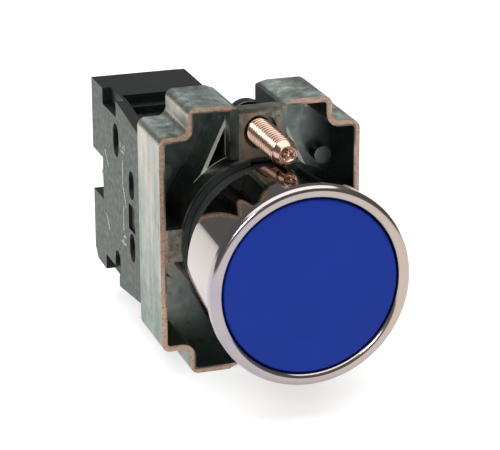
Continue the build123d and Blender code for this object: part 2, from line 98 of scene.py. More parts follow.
def round_edges(
    bm: bmesh.types.BMesh, edges: Sequence[bmesh.types.BMEdge], width: float, segments: int
) -> None:
    """Rounds some of a mesh's edges.

    Args:
        bm: The mesh to change.
        edges: The edges to round.
        width: Width of the rounding, in millimetres.
        segments: Facets across the rounding.
    """
    bmesh.ops.bevel(
        bm,
        geom=edges,
        offset=width * MM,
        offset_type="OFFSET",
        segments=segments,
        profile=0.5,
        affect="EDGES",
        clamp_overlap=True,
        material=-1,
    )


def soften(bm: bmesh.types.BMesh, width: float, angle: float = 30.0, segments: int = 3) -> None:
    """Rounds every edge sharper than an angle.

    Args:
        bm: The mesh to change.
        width: Width of the rounding, in millimetres.
        angle: Smallest fold that is rounded, in degrees.
        segments: Facets across the rounding.
    """
    limit = math.radians(angle)
    sharp = [e for e in bm.edges if e.is_manifold and e.calc_face_angle(0.0) > limit]
    round_edges(bm, sharp, width, segments)


def cut_closed(bm: bmesh.types.BMesh, spot: Sequence[float], outward: Sequence[float]) -> None:
    """Cuts away what lies beyond a plane and closes the cut.

    Args:
        bm: The mesh to change.
        spot: A point of the plane, in millimetres.
        outward: The side that is cleared.
    """
    cut = bmesh.ops.bisect_plane(
        bm,
        geom=bm.verts[:] + bm.edges[:] + bm.faces[:],
        plane_co=[c * MM for c in spot],
        plane_no=outward,
        clear_outer=True,
    )["geom_cut"]
    bmesh.ops.holes_fill(bm, edges=[e for e in cut if isinstance(e, bmesh.types.BMEdge)])
    bmesh.ops.recalc_face_normals(bm, faces=bm.faces)


def box(low: Sequence[float], high: Sequence[float]) -> bmesh.types.BMesh:
    """A block between two corners given in millimetres.

    Args:
        low: Lowest corner.
        high: Highest corner.

    Returns:
        The block's mesh, in metres.
    """
    bm = bmesh.new()
    bmesh.ops.create_cube(bm, size=1.0)
    size = [(b - a) * MM for a, b in zip(low, high)]
    middle = [(a + b) / 2 * MM for a, b in zip(low, high)]
    bmesh.ops.scale(bm, vec=size, verts=bm.verts)
    bmesh.ops.translate(bm, vec=middle, verts=bm.verts)
    return bm


def joined(parts: Iterable[bmesh.types.BMesh]) -> bmesh.types.BMesh:
    """Puts several meshes in one, and frees them.

    Args:
        parts: The meshes.

    Returns:
        One mesh that holds them all.
    """
    whole = bmesh.new()
    for part in parts:
        mesh = bpy.data.meshes.new("scrap")
        part.to_mesh(mesh)
        part.free()
        whole.from_mesh(mesh)
        bpy.data.meshes.remove(mesh)
    return whole


def node_copy(name: str, fold: float = 0.5) -> bmesh.types.BMesh:
    """A merged copy of a frame node's mesh, its flat faces made whole again.

    Args:
        name: The node.
        fold: Folds below this many degrees are dissolved.

    Returns:
        The copy, in metres.
    """
    bm = bmesh.new()
    bm.from_mesh(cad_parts[name].data)
    bmesh.ops.remove_doubles(bm, verts=bm.verts, dist=2e-6)
    bmesh.ops.dissolve_degenerate(bm, dist=1e-6, edges=bm.edges)
    bmesh.ops.dissolve_limit(bm, angle_limit=math.radians(fold), verts=bm.verts, edges=bm.edges)
    return bm


def place(
    bm: bmesh.types.BMesh, name: str, finish: "Finish", body: str, stands_for: Sequence[str]
) -> bpy.types.Object:
    """Turns a mesh into a piece of the object, smooth where it is round.

    Args:
        bm: The finished mesh; it is freed.
        name: The piece's name.
        finish: What it is finished in.
        body: The body it rides on.
        stands_for: The frame nodes it replaces.

    Returns:
        The new object.
    """
    for face in bm.faces:
        face.smooth = True
    for edge in bm.edges:
        edge.smooth = not (edge.is_manifold and edge.calc_face_angle(0.0) > SHARP_FOLD)
    mesh = bpy.data.meshes.new(name)
    bm.to_mesh(mesh)
    bm.free()
    piece = bpy.data.objects.new(name, mesh)
    bpy.context.collection.objects.link(piece)
    mesh.materials.append(finish.material())
    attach(piece, body)
    if stands_for:
        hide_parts(*stands_for)
    LOG.info("%s: %d faces on %s", name, len(mesh.polygons), body)
    return piece


def flatten(piece: bpy.types.Object) -> None:
    """Keeps broad flat faces flat beside their rounded edges.

    Args:
        piece: The piece whose shading is weighted by face area.
    """
    weighting = piece.modifiers.new("flat_faces", "WEIGHTED_NORMAL")
    weighting.weight = 100
    weighting.keep_sharp = True


# --------------------------------------------------------------------------- finishes


def shaded(colour: Colour, share: float) -> Colour:
    """Makes a colour darker or lighter, up to full.

    Args:
        colour: The colour.
        share: What each of its values is multiplied by.

    Returns:
        The new colour.
    """
    return tuple(min(1.0, value * share) for value in colour)


class Nodes:
    """Short ways to wire a material's nodes."""

    def __init__(self, name: str) -> None:
        """Starts an empty material with a Principled shader.

        Args:
            name: The material's name.
        """
        self.made = bpy.data.materials.new(name)
        self.made.use_nodes = True
        self.tree = self.made.node_tree
        self.tree.nodes.clear()
        out = self.tree.nodes.new("ShaderNodeOutputMaterial")
        self.shader = self.tree.nodes.new("ShaderNodeBsdfPrincipled")
        self.tree.links.new(self.shader.outputs["BSDF"], out.inputs["Surface"])
        self.place = self.tree.nodes.new("ShaderNodeTexCoord").outputs["Object"]

    def set(self, **values: object) -> None:
        """Sets the shader's own sockets, named with underscores for spaces."""
        for key, value in values.items():
            self.shader.inputs[key.replace("_", " ")].default_value = value

    def link(self, source: bpy.types.NodeSocket, socket: str) -> None:
        """Wires a value to one of the shader's sockets."""
        self.tree.links.new(source, self.shader.inputs[socket])

    def stretched(self, scale: Sequence[float]) -> bpy.types.NodeSocket:
        """Scales the object's coordinates.

        Args:
            scale: Factor along each axis.

        Returns:
            The scaled place's socket.
        """
        node = self.tree.nodes.new("ShaderNodeMapping")
        node.inputs["Scale"].default_value = scale
        self.tree.links.new(self.place, node.inputs["Vector"])
        return node.outputs["Vector"]

    def noise(
        self,
        scale: float,
        detail: float = 3.0,
        roughness: float = 0.55,
        stretch: Sequence[float] = (1.0, 1.0, 1.0),
    ) -> bpy.types.NodeSocket:
        """Noise over the object's coordinates.

        Args:
            scale: Cells to the metre.
            detail: Octaves.
            roughness: Share of the finer octaves.
            stretch: Scale along each axis before the noise is read.

        Returns:
            The noise value's socket.
        """
        node = self.tree.nodes.new("ShaderNodeTexNoise")
        node.inputs["Scale"].default_value = scale
        node.inputs["Detail"].default_value = detail
        node.inputs["Roughness"].default_value = roughness
        self.tree.links.new(self.stretched(stretch), node.inputs["Vector"])
        return node.outputs["Fac"]

    def span(
        self,
        source: bpy.types.NodeSocket,
        low: float,
        high: float,
        to_low: float = 0.0,
        to_high: float = 1.0,
    ) -> bpy.types.NodeSocket:
        """Maps a span of values to another, clamped.

        Args:
            source: The value.
            low: Start of the span.
            high: End of the span.
            to_low: What the start becomes.
            to_high: What the end becomes.

        Returns:
            The mapped value's socket.
        """
        node = self.tree.nodes.new("ShaderNodeMapRange")
        node.clamp = True
        node.inputs["From Min"].default_value = low
        node.inputs["From Max"].default_value = high
        node.inputs["To Min"].default_value = to_low
        node.inputs["To Max"].default_value = to_high
        self.tree.links.new(source, node.inputs["Value"])
        return node.outputs["Result"]

    def math(
        self, kind: str, a: bpy.types.NodeSocket, b: object = 0.0, clamp: bool = True
    ) -> bpy.types.NodeSocket:
        """One arithmetic step.

        Args:
            kind: The step.
            a: The first value.
            b: The second value, a socket or a number.
            clamp: Whether the outcome is held between 0 and 1.

        Returns:
            The outcome's socket.
        """
        node = self.tree.nodes.new("ShaderNodeMath")
        node.operation = kind
        node.use_clamp = clamp
        self.tree.links.new(a, node.inputs[0])
        if isinstance(b, bpy.types.NodeSocket):
            self.tree.links.new(b, node.inputs[1])
        else:
            node.inputs[1].default_value = b
        return node.outputs["Value"]

    def ramp(
        self, source: bpy.types.NodeSocket, stops: Sequence[tuple[float, Colour]]
    ) -> bpy.types.NodeSocket:
        """A colour ramp over a value.

        Args:
            source: The value.
            stops: Places from 0 to 1, each with a linear colour.

        Returns:
            The colour's socket.
        """
        node = self.tree.nodes.new("ShaderNodeValToRGB")
        band = node.color_ramp.elements
        band[0].position, band[0].color = stops[0][0], (*stops[0][1], 1)
        band[1].position, band[1].color = stops[-1][0], (*stops[-1][1], 1)
        for at, colour in stops[1:-1]:
            band.new(at).color = (*colour, 1)
        self.tree.links.new(source, node.inputs["Fac"])
        return node.outputs["Color"]

    def mix(self, share: bpy.types.NodeSocket, a: object, b: object) -> bpy.types.NodeSocket:
        """Mixes two colours.

        Args:
            share: How much of the second.
            a: A colour or a colour socket.
            b: A colour or a colour socket.

        Returns:
            The mixed colour's socket.
        """
        node = self.tree.nodes.new("ShaderNodeMix")
        node.data_type = "RGBA"
        self.tree.links.new(share, node.inputs["Factor"])
        for key, value in ((6, a), (7, b)):
            if isinstance(value, bpy.types.NodeSocket):
                self.tree.links.new(value, node.inputs[key])
            else:
                node.inputs[key].default_value = (*value, 1)
        return node.outputs[2]

    def axis(self, which: str) -> bpy.types.NodeSocket:
        """Reads one of the object's own coordinates.

        Args:
            which: X, Y or Z.

        Returns:
            The coordinate's socket, in metres.
        """
        node = self.tree.nodes.new("ShaderNodeSeparateXYZ")
        self.tree.links.new(self.place, node.inputs["Vector"])
        return node.outputs[which]

    def inside(self, half_x: float, half_z: float, blur: float = 0.1) -> bpy.types.NodeSocket:
        """1 inside an upright rectangle about the axis, 0 outside it.

        Args:
            half_x: Half its width, in millimetres.
            half_z: Half its height, in millimetres.
            blur: Width of its soft edge, in millimetres.

        Returns:
            The mask's socket.
        """
        sides = []
        for which, half in (("X", half_x), ("Z", half_z)):
            away = self.math("ABSOLUTE", self.axis(which))
            sides.append(self.span(away, half * MM, (half - blur) * MM))
        return self.math("MULTIPLY", *sides)

    def radius(self, centre_z: float) -> bpy.types.NodeSocket:
        """Measures from the nearer of two lines along Y, one above and one below the axis.

        Args:
            centre_z: Height of the upper line, in millimetres.

        Returns:
            The distance's socket, in metres.
        """
        height = self.math("ABSOLUTE", self.axis("Z"))
        off = self.math("SUBTRACT", height, centre_z * MM, clamp=False)
        across = self.axis("X")
        off_square = self.math("MULTIPLY", off, off, clamp=False)
        square = self.math("ADD", off_square, self.math("MULTIPLY", across, across))
        return self.math("SQRT", square)

    def slab(self, rear: float, full_rear: float, full_front: float, front: float) -> bpy.types.NodeSocket:
        """Marks a slab across the axis, with soft faces.

        Args:
            rear: Y where the mask starts to rise from behind, in millimetres.
            full_rear: Y where it is full.
            full_front: Y where it starts to fall.
            front: Y where it is gone.

        Returns:
            The mask's socket.
        """
        depth = self.axis("Y")
        behind = self.span(depth, rear * MM, full_rear * MM)
        return self.math("MULTIPLY", behind, self.span(depth, front * MM, full_front * MM))

    def facing(self, which: str) -> bpy.types.NodeSocket:
        """Reads one coordinate of the surface's normal.

        Args:
            which: X, Y or Z.

        Returns:
            The coordinate's socket.
        """
        geometry = self.tree.nodes.new("ShaderNodeNewGeometry")
        node = self.tree.nodes.new("ShaderNodeSeparateXYZ")
        self.tree.links.new(geometry.outputs["Normal"], node.inputs["Vector"])
        return node.outputs[which]

    def bump(self, height: bpy.types.NodeSocket, depth: float, strength: float = 1.0) -> None:
        """Raises the surface by a height from 0 to 1.

        Args:
            height: The height's socket.
            depth: What a height of 1 stands for, in millimetres.
            strength: Share of the effect.
        """
        node = self.tree.nodes.new("ShaderNodeBump")
        node.inputs["Distance"].default_value = depth * MM
        node.inputs["Strength"].default_value = strength
        self.tree.links.new(height, node.inputs["Height"])
        self.link(node.outputs["Normal"], "Normal")


class Finish:
    """A finish that makes its material once."""

    made: dict[str, bpy.types.Material] = {}

    def material(self) -> bpy.types.Material:
        """Makes the finish's material the first time it is asked for.

        Returns:
            The one material of this finish.
        """
        key = repr(self)
        if key not in Finish.made:
            Finish.made[key] = self.build()
        return Finish.made[key]

    def build(self) -> bpy.types.Material:
        """Makes the material.

        Returns:
            The finished material.
        """
        raise NotImplementedError


@dataclass(frozen=True)
class BrightPlate(Finish):
    """Polished dark nickel-chrome plate, softer on the rounded front lip, whose cool-to-warm tint is a
    painted reflection.
    """

    colour: Colour = (0.405, 0.360, 0.325)
    # Tints of the lip, cool on the left and warm on the right: a painted reflection.
    cool_lip_reflection: Colour = (0.345, 0.315, 0.345)
    warm_lip_reflection: Colour = (0.430, 0.350, 0.295)
    lip_y: float = -12.95
    roughness: float = 0.03

    def build(self) -> bpy.types.Material:
        """Makes the material.

        Returns:
            The finished material.
        """
        n = Nodes("bright_plate")
        haze = n.noise(260, 4, 0.6)
        plate = n.ramp(haze, ((0.3, self.colour), (0.7, shaded(self.colour, 0.92))))
        front = n.span(n.axis("Y"), (self.lip_y + 0.1) * MM, self.lip_y * MM)
        # The lip goes from cool on the left to warm on the right: a painted reflection, broken by haze.
        lip = n.mix(n.span(n.axis("X"), -0.012, 0.014), self.cool_lip_reflection, self.warm_lip_reflection)
        lip = n.mix(n.span(haze, 0.4, 0.7, 0.0, 0.5), lip, self.colour)
        n.link(n.mix(front, plate, lip), "Base Color")
        wear = n.span(n.noise(900, 3), 0.35, 0.7, self.roughness, self.roughness + 0.03)
        n.link(n.math("ADD", wear, n.math("MULTIPLY", front, 0.12)), "Roughness")
        n.set(Metallic=1.0)
        n.bump(n.noise(300, 2, 0.5), 0.004, 0.4)
        return n.made


@dataclass(frozen=True)
class CapPlastic(Finish):
    """Satin moulded plastic of the button's cap."""

    colour: Colour = (0.0045, 0.0275, 0.262)
    roughness: float = 0.5

    def build(self) -> bpy.types.Material:
        """Makes the material.

        Returns:
            The finished material.
        """
        n = Nodes("cap_plastic")
        cloud = n.noise(120, 3, 0.5)
        n.link(n.ramp(cloud, ((0.35, shaded(self.colour, 0.93)), (0.65, self.colour))), "Base Color")
        n.link(n.span(n.noise(1500, 2), 0.3, 0.7, self.roughness, self.roughness + 0.1), "Roughness")
        n.set(Specular_IOR_Level=0.14)
        n.bump(n.noise(5200, 2, 0.6), 0.006, 0.6)
        return n.made


@dataclass(frozen=True)
class CastZinc(Finish):
    """Passivated zinc die casting: streaked outside, dark in its hollow; painted light on its tops, a
    painted warm reflection on its rim, a painted highlight on its rib edges.
    """

    cool: Colour = (0.145, 0.205, 0.180)
    warm: Colour = (0.530, 0.465, 0.400)
    # Colours of faces turned up or down: mottled, and lighter than the sides as painted light.
    top: Colour = (0.560, 0.660, 0.600)
    top_dark: Colour = (0.110, 0.150, 0.135)
    hollow: Colour = (0.150, 0.180, 0.172)
    stain: Colour = (0.300, 0.270, 0.215)
    # Coppery colour of the front rim: a painted warm reflection.
    rim: Colour = (0.500, 0.330, 0.245)
    rim_dark: Colour = (0.060, 0.062, 0.045)
    plate: Colour = (0.255, 0.245, 0.195)
    copper: Colour = (0.290, 0.200, 0.140)
    # Painted highlight along the ribs' front edges.
    painted_rib_highlight: Colour = (0.620, 0.640, 0.580)
    rim_y: float = 7.0
    rib_y: float = 10.4
    # Half the width and half the height of regions about the axis, in millimetres.
    broad_hollow: Point = (14.5, 15.6)
    tall_hollow: Point = (10.25, 19.5)
    boss_plates: Point = (4.3, 18.6)
    side_plates: Point = (13.9, 2.6)
    rib_area: Point = (9.0, 17.6)

    def within(self, n: Nodes, blur: float) -> bpy.types.NodeSocket:
        """Marks what lies inside the outer walls.

        Args:
            n: The material's nodes.
            blur: Width of the mask's soft edge, in millimetres.

        Returns:
            The mask's socket.
        """
        broad = n.inside(*self.broad_hollow, blur)
        return n.math("MAXIMUM", broad, n.inside(*self.tall_hollow, blur))

    def outside(self, n: Nodes) -> bpy.types.NodeSocket:
        """Colours the outer faces: streaks down the sides, and on the tops clouds painted lighter than the
        sides as painted light.

        Args:
            n: The material's nodes.

        Returns:
            The colour's socket.
        """
        streak = n.noise(230, 5, 0.66, (1.0, 1.0, 0.16))
        height = n.span(n.axis("Z"), -0.014, 0.016, -0.16, 0.3)
        warmth = n.math("ADD", n.span(streak, 0.36, 0.66), height)
        warmth = n.math("MULTIPLY", warmth, n.span(n.noise(75, 5, 0.7), 0.3, 0.58, 0.35, 1.0))
        sides = n.mix(warmth, self.cool, self.warm)
        cloud = n.span(n.noise(190, 5, 0.7, (1.0, 0.6, 1.0)), 0.32, 0.6)
        tops = n.mix(cloud, self.top_dark, self.top)
        tops = n.mix(n.span(n.noise(320, 4, 0.7), 0.56, 0.75), tops, self.warm)
        # Faces turned up or down take the tops' colour, painted lighter: painted light, with a mottled
        # tone.
        return n.mix(n.span(n.math("ABSOLUTE", n.facing("Z")), 0.55, 0.95), sides, tops)

    def front(self, n: Nodes) -> bpy.types.NodeSocket:
        """Colours the faces ground flat at the front: the rim with a painted warm reflection, and the
        speckled plates.

        Args:
            n: The material's nodes.

        Returns:
            The colour's socket.
        """
        grain = n.span(n.noise(2600, 4, 0.7), 0.34, 0.56, 0.45, 1.0)
        # The coppery rim is a painted warm reflection, broken by dark grain.
        rim = n.mix(grain, self.rim_dark, self.rim)
        band = self.within(n, 0.2)
        patch = n.span(n.noise(170, 3, 0.6), 0.34, 0.56)
        rim = n.mix(n.math("MULTIPLY", band, patch), rim, self.rim_dark)
        flat = n.mix(n.span(n.noise(1500, 5, 0.75), 0.38, 0.58), self.rim_dark, self.plate)
        flush = n.span(n.noise(240, 3, 0.6, (1.0, 1.0, 0.3)), 0.5, 0.68, 0.0, 0.8)
        flat = n.mix(flush, flat, self.copper)
        bosses = n.inside(*self.boss_plates, 0.05)
        centre = n.math("MAXIMUM", bosses, n.inside(*self.side_plates, 0.05))
        return n.mix(centre, rim, flat)

    def build(self) -> bpy.types.Material:
        """Makes the material.

        Returns:
            The finished material.
        """
        n = Nodes("cast_zinc")
        inner = n.mix(n.span(n.noise(200, 5, 0.7), 0.47, 0.74), self.hollow, self.stain)
        body = n.mix(self.within(n, 0.1), self.outside(n), inner)
        near = n.slab(self.rim_y + 0.16, self.rim_y + 0.08, self.rim_y - 0.05, self.rim_y - 0.1)
        # A thin light band along the ribs' front edges: a painted highlight, less metallic than the rest.
        painted_rib_highlight = n.slab(self.rib_y + 0.2, self.rib_y + 0.1, self.rib_y - 0.1, self.rib_y - 0.2)
        painted_rib_highlight = n.math("MULTIPLY", painted_rib_highlight, n.inside(*self.rib_area))
        body = n.mix(painted_rib_highlight, body, self.painted_rib_highlight)
        n.link(n.mix(near, body, self.front(n)), "Base Color")
        n.link(n.span(n.noise(600, 4, 0.6), 0.3, 0.7, 0.26, 0.46), "Roughness")
        n.link(n.span(n.math("MAXIMUM", near, painted_rib_highlight), 0.0, 1.0, 1.0, 0.35), "Metallic")
        n.bump(n.noise(1600, 4, 0.65), 0.02, 0.5)
        return n.made


@dataclass(frozen=True)
class CopperPassivate(Finish):
    """Rolled screw with a coppery passivation; painted shade in the thread's valleys and on the screw from
    the boss plate back, head included.
    """

    centre_z: float
    core_r: float
    major_r: float
    shank_y: float
    colour: Colour = (0.58, 0.385, 0.30)
    # Painted shade in the thread's valleys.
    painted_valley_shade: Colour = (0.030, 0.014, 0.010)
    # Painted shade on the screw from the boss plate back, head included.
    head: Colour = (0.10, 0.095, 0.075)
    head_y: float = 9.0

    def build(self) -> bpy.types.Material:
        """Makes the material.

        Returns:
            The finished material.
        """
        n = Nodes("copper_passivate")
        stops = ((0.3, shaded(self.colour, 0.8)), (0.5, self.colour), (0.75, shaded(self.colour, 1.1)))
        metal = n.ramp(n.noise(500, 3, 0.6), stops)
        # The thread's valleys are painted dark: painted shade.
        crest = n.span(n.radius(self.centre_z), (self.core_r + 0.1) * MM, (self.major_r - 0.06) * MM)
        shank = n.span(n.axis("Y"), (self.shank_y + 0.1) * MM, self.shank_y * MM)
        metal = n.mix(n.math("MAXIMUM", crest, shank), self.painted_valley_shade, metal)
        # From the boss plate back, the screw is painted dark: painted shade.
        rear = n.span(n.axis("Y"), self.head_y * MM, (self.head_y + 0.4) * MM)
        n.link(n.mix(rear, metal, self.head), "Base Color")
        n.link(n.span(n.noise(2200, 2), 0.3, 0.7, 0.16, 0.28), "Roughness")
        n.set(Metallic=1.0)
        n.bump(n.noise(1600, 3, 0.6), 0.003, 0.4)
        return n.made


@dataclass(frozen=True)
class BlockPlastic(Finish):
    """Near-black moulding of the contact block, with painted light on its left face."""

    colour: Colour = (0.0045, 0.0065, 0.0055)
    # Lighter, mottled colour of the left face: painted light.
    painted_face_light: Colour = (0.038, 0.053, 0.038)
    face_x: float = -14.5

    def build(self) -> bpy.types.Material:
        """Makes the material.

        Returns:
            The finished material.
        """
        n = Nodes("block_plastic")
        cloud = n.noise(140, 4, 0.6)
        deep = n.ramp(cloud, ((0.3, shaded(self.colour, 0.7)), (0.7, shaded(self.colour, 1.4))))
        # The left face is painted lighter: painted light, mottled.
        painted_face_tone = n.ramp(n.noise(420, 5, 0.7), ((0.32, shaded(self.painted_face_light, 0.72)), (0.66, self.painted_face_light)))
        face = n.span(n.axis("X"), self.face_x * MM, (self.face_x - 0.05) * MM)
        face = n.math("MULTIPLY", face, n.span(n.facing("X"), -0.5, -0.9))
        n.link(n.mix(face, deep, painted_face_tone), "Base Color")
        n.link(n.span(n.noise(1100, 3), 0.3, 0.7, 0.36, 0.56), "Roughness")
        n.set(Specular_IOR_Level=0.3)
        n.bump(n.noise(3600, 3, 0.7), 0.02, 0.6)
        return n.made


@dataclass(frozen=True)
class PrintInk(Finish):
    """Pale worn ink of the contact symbol."""

    colour: Colour = (0.62, 0.66, 0.62)
    worn: Colour = (0.20, 0.23, 0.20)

    def build(self) -> bpy.types.Material:
        """Makes the material.

        Returns:
            The finished material.
        """
        n = Nodes("print_ink")
        n.link(n.ramp(n.noise(2600, 3, 0.7), ((0.38, self.worn), (0.56, self.colour))), "Base Color")
        n.link(n.span(n.noise(900, 2), 0.3, 0.7, 0.5, 0.7), "Roughness")
        n.set(Specular_IOR_Level=0.2)
        return n.made


@dataclass(frozen=True)
class BlackMoulding(Finish):
    """Black moulded plastic or rubber."""

    colour: Colour = (0.018, 0.018, 0.019)
    roughness: float = 0.5
    grain: float = 3000.0

    def build(self) -> bpy.types.Material:
        """Makes the material.

        Returns:
            The finished material.
        """
        n = Nodes("black_moulding")
        stops = ((0.35, self.colour), (0.7, shaded(self.colour, 1.7)))
        n.link(n.ramp(n.noise(300, 3), stops), "Base Color")
        wear = n.span(n.noise(900, 2), 0.3, 0.7, self.roughness - 0.06, self.roughness + 0.1)
        n.link(wear, "Roughness")
        n.bump(n.noise(self.grain, 3, 0.6), 0.01, 0.6)
        return n.made


@dataclass(frozen=True)
class PlainMetal(Finish):
    """Plated or drawn metal of the small parts."""

    name: str
    colour: Colour
    roughness: float

    def build(self) -> bpy.types.Material:
        """Makes the material.

        Returns:
            The finished material.
        """
        n = Nodes(self.name)
        stops = ((0.3, shaded(self.colour, 0.8)), (0.7, self.colour))
        n.link(n.ramp(n.noise(500, 4), stops), "Base Color")
        wear = n.span(n.noise(1800, 2), 0.3, 0.7, self.roughness, self.roughness + 0.14)
        n.link(wear, "Roughness")
        n.set(Metallic=1.0)
        n.bump(n.noise(2500, 3), 0.006, 0.5)
        return n.made


@dataclass(frozen=True)
class StudioFloor(Finish):
    """Plain pale floor with a faint glow of its own, which keeps shadows light."""

    colour: Colour = (0.6, 0.6, 0.6)
    glow: float = 0.62

    def build(self) -> bpy.types.Material:
        """Makes the material.

        Returns:
            The finished material.
        """
        n = Nodes("studio_floor")
        stops = ((0.3, self.colour), (0.7, shaded(self.colour, 0.99)))
        n.link(n.ramp(n.noise(3, 2), stops), "Base Color")
        n.set(Roughness=0.8, Specular_IOR_Level=0.1)
        n.set(Emission_Color=(1, 1, 1, 1), Emission_Strength=self.glow)
        return n.made


SPRING_WIRE = PlainMetal("spring_wire", (0.55, 0.55, 0.56), 0.2)
PLATED_STEEL = PlainMetal("plated_steel", (0.74, 0.74, 0.71), 0.24)
CONTACT_BRASS = PlainMetal("contact_brass", (0.76, 0.58, 0.30), 0.25)


# --------------------------------------------------------------------------- sub-assemblies


@dataclass
class Head:
    """Bezel, cap, barrel and gasket."""

    bezel_front: float = -14.6
    bezel_rear: float = -1.2
    front_r: float = 14.35
    rear_r: float = 13.5
    bore_r: float = 12.56
    lip: float = 1.7
    lip_round: float = 0.75
    flange_r: float = 13.1
    flange_front: float = -4.4
    cap_r: float = 12.41
    cap_front: float = -14.3
    cap_length: float = 4.6
    cap_wall: float = 1.3
    cap_face_t: float = 2.4
    cap_hub_r: float = 3.9
    cap_hub_bore: float = 2.6
    barrel_r: float = 11.0

    def make_bezel(self) -> None:
        """Turns the bright ring with its rounded lip."""
        outline = [
            (self.bore_r, self.bezel_front),
            (self.front_r, self.bezel_front),
            (self.front_r, self.bezel_front + self.lip),
            (self.front_r - 0.12, self.bezel_front + self.lip + 0.05),
            (self.rear_r, self.bezel_rear),
            (self.flange_r, self.bezel_rear),
            (self.flange_r, self.flange_front),
            (self.bore_r, self.flange_front),
        ]
        bm = lathe(outline, steps=180)
        level = self.bezel_front * MM
        front = [
            edge
            for edge in bm.edges
            if all(abs(v.co.y - level) < 1e-6 for v in edge.verts) and edge.calc_face_angle(0.0) > 1.0
        ]
        round_edges(bm, front, self.lip_round, 10)
        place(bm, "bezel_ring", BrightPlate(), "frame", ["bezel"])

    def make_cap(self) -> None:
        """Turns the cap with a faint crown and a soft edge."""
        rear = self.cap_front + self.cap_length
        inside = self.cap_front + self.cap_face_t
        wall_r = self.cap_r - self.cap_wall
        outline = [
            (0, self.cap_front + 0.02),
            (self.cap_r * 0.6, self.cap_front),
            (self.cap_r, self.cap_front),
            (self.cap_r, rear),
            (wall_r, rear),
            (wall_r, inside),
            (self.cap_hub_r, inside),
            (self.cap_hub_r, rear),
            (self.cap_hub_bore, rear),
            (self.cap_hub_bore, inside),
            (0, inside),
        ]
        bm = lathe(outline, steps=180)
        soften(bm, 0.35, 40, 5)
        place(bm, "cap_disc", CapPlastic(), "button", ["button_cap"])

    def make_gasket(self) -> None:
        """Turns the rubber ring between the flange and the panel."""
        outline = [
            (self.barrel_r, self.bezel_rear),
            (self.flange_r, self.bezel_rear),
            (self.flange_r, 0.0),
            (self.barrel_r, 0.0),
        ]
        bm = lathe(outline)
        soften(bm, 0.3, 30, 4)
        rubber = BlackMoulding(roughness=0.62, grain=4500)
        place(bm, "gasket_ring", rubber, "frame", ["panel_gasket"])

    def make_all(self) -> None:
        """Makes the head's pieces."""
        self.make_bezel()
        self.make_cap()
        self.make_gasket()


@dataclass
class MountingBody:
    """Die-cast shell behind the panel."""

    edge_round: float = 0.14

    def make_all(self) -> None:
        """Rounds the casting's edges and dresses it."""
        bm = node_copy("mounting_body")
        soften(bm, self.edge_round, 40, 2)
        flatten(place(bm, "cast_body", CastZinc(), "frame", ["mounting_body"]))


@dataclass
class ClampScrew:
    """Long screw with a rolled thread, a cup point and a slotted head."""

    end: End
    centre_z: float = 15.7
    major_r: float = 1.95
    core_r: float = 1.52
    pitch: float = 0.78
    tip: float = -4.5
    point_r: float = 1.3
    taper: float = 1.4
    head_front: float = 12.3
    head_r: float = 3.0
    head_t: float = 2.0
    slot_w: float = 0.8
    slot_d: float = 0.9
    steps: int = 28

    def thread(self) -> bmesh.types.BMesh:
        """Winds one pitch of thread up the shank.

        Returns:
            The thread's mesh.
        """
        bm = bmesh.new()
        start = self.tip + self.taper - 0.6
        crest = self.major_r
        shape = (
            (self.core_r, 0.0),
            (crest - 0.05, 0.32),
            (crest, 0.39),
            (crest, 0.45),
            (crest - 0.05, 0.52),
            (self.core_r, 0.84),
            (self.core_r, 1.0),
        )
        z = self.end.sign * self.centre_z
        verts = [bm.verts.new((r * MM, (start + share * self.pitch) * MM, z * MM)) for r, share in shape]
        edges = [bm.edges.new(pair) for pair in zip(verts, verts[1:])]
        turns = int((self.head_front - start) / self.pitch)
        steps = self.steps * turns
        bmesh.ops.spin(
            bm,
            geom=verts + edges,
            cent=(0, 0, z * MM),
            axis=(0, 1, 0),
            dvec=(0, self.pitch * MM * turns / steps, 0),
            angle=math.tau * turns,
            steps=steps,
        )
        bmesh.ops.remove_doubles(bm, verts=bm.verts, dist=1e-6)
        for cut, outward in ((self.tip + self.taper, -1), (self.head_front - 0.2, 1)):
            bmesh.ops.bisect_plane(
                bm,
                geom=bm.verts[:] + bm.edges[:] + bm.faces[:],
                plane_co=(0, cut * MM, 0),
                plane_no=(0, outward, 0),
                clear_outer=True,
            )
        bmesh.ops.recalc_face_normals(bm, faces=bm.faces)
        return bm

    def disc(self, rear: float) -> bmesh.types.BMesh:
        """Turns a plain disc from the front of the head.

        Args:
            rear: Y of its rear face, in millimetres.

        Returns:
            The disc's mesh.
        """
        front = self.head_front
        outline = [(0, front), (self.head_r, front), (self.head_r, rear), (0, rear)]
        return lathe(outline, (0, self.end.sign * self.centre_z), 64)

    def head(self) -> bmesh.types.BMesh:
        """Makes the round head with its driver slot.

        Returns:
            The head's mesh.
        """
        z = self.end.sign * self.centre_z
        rear = self.head_front + self.head_t
        half = self.slot_w / 2
        halves = []
        for hand in (1, -1):
            bm = self.disc(rear)
            cut_closed(bm, (0, 0, z + hand * half), (0, 0, -hand))
            halves.append(bm)
        floor = self.disc(rear - self.slot_d)
        cut_closed(floor, (0, 0, z + half), (0, 0, 1))
        cut_closed(floor, (0, 0, z - half), (0, 0, -1))
        for bm in (*halves, floor):
            soften(bm, 0.12, 40, 3)
        return joined([*halves, floor])

    def make_all(self) -> None:
        """Makes the screw."""
        z = self.end.sign * self.centre_z
        inner_r = self.core_r - 0.02
        core = [
            (0, self.tip + 1.0),
            (0.5, self.tip + 0.8),
            (1.0, self.tip),
            (self.point_r, self.tip),
            (self.major_r - 0.1, self.tip + self.taper),
            (inner_r, self.tip + self.taper + 0.15),
            (inner_r, self.head_front + 0.1),
            (0, self.head_front + 0.1),
        ]
        shank = lathe(core, (0, z), 56)
        soften(shank, 0.1, 30, 3)
        bm = joined([shank, self.thread(), self.head()])
        body = f"{self.end.node}_clamp"
        shank_y = self.tip + self.taper
        finish = CopperPassivate(self.centre_z, self.core_r, self.major_r, shank_y)
        place(bm, f"{self.end.word}_clamp_screw", finish, body, [f"{body}_screw"])


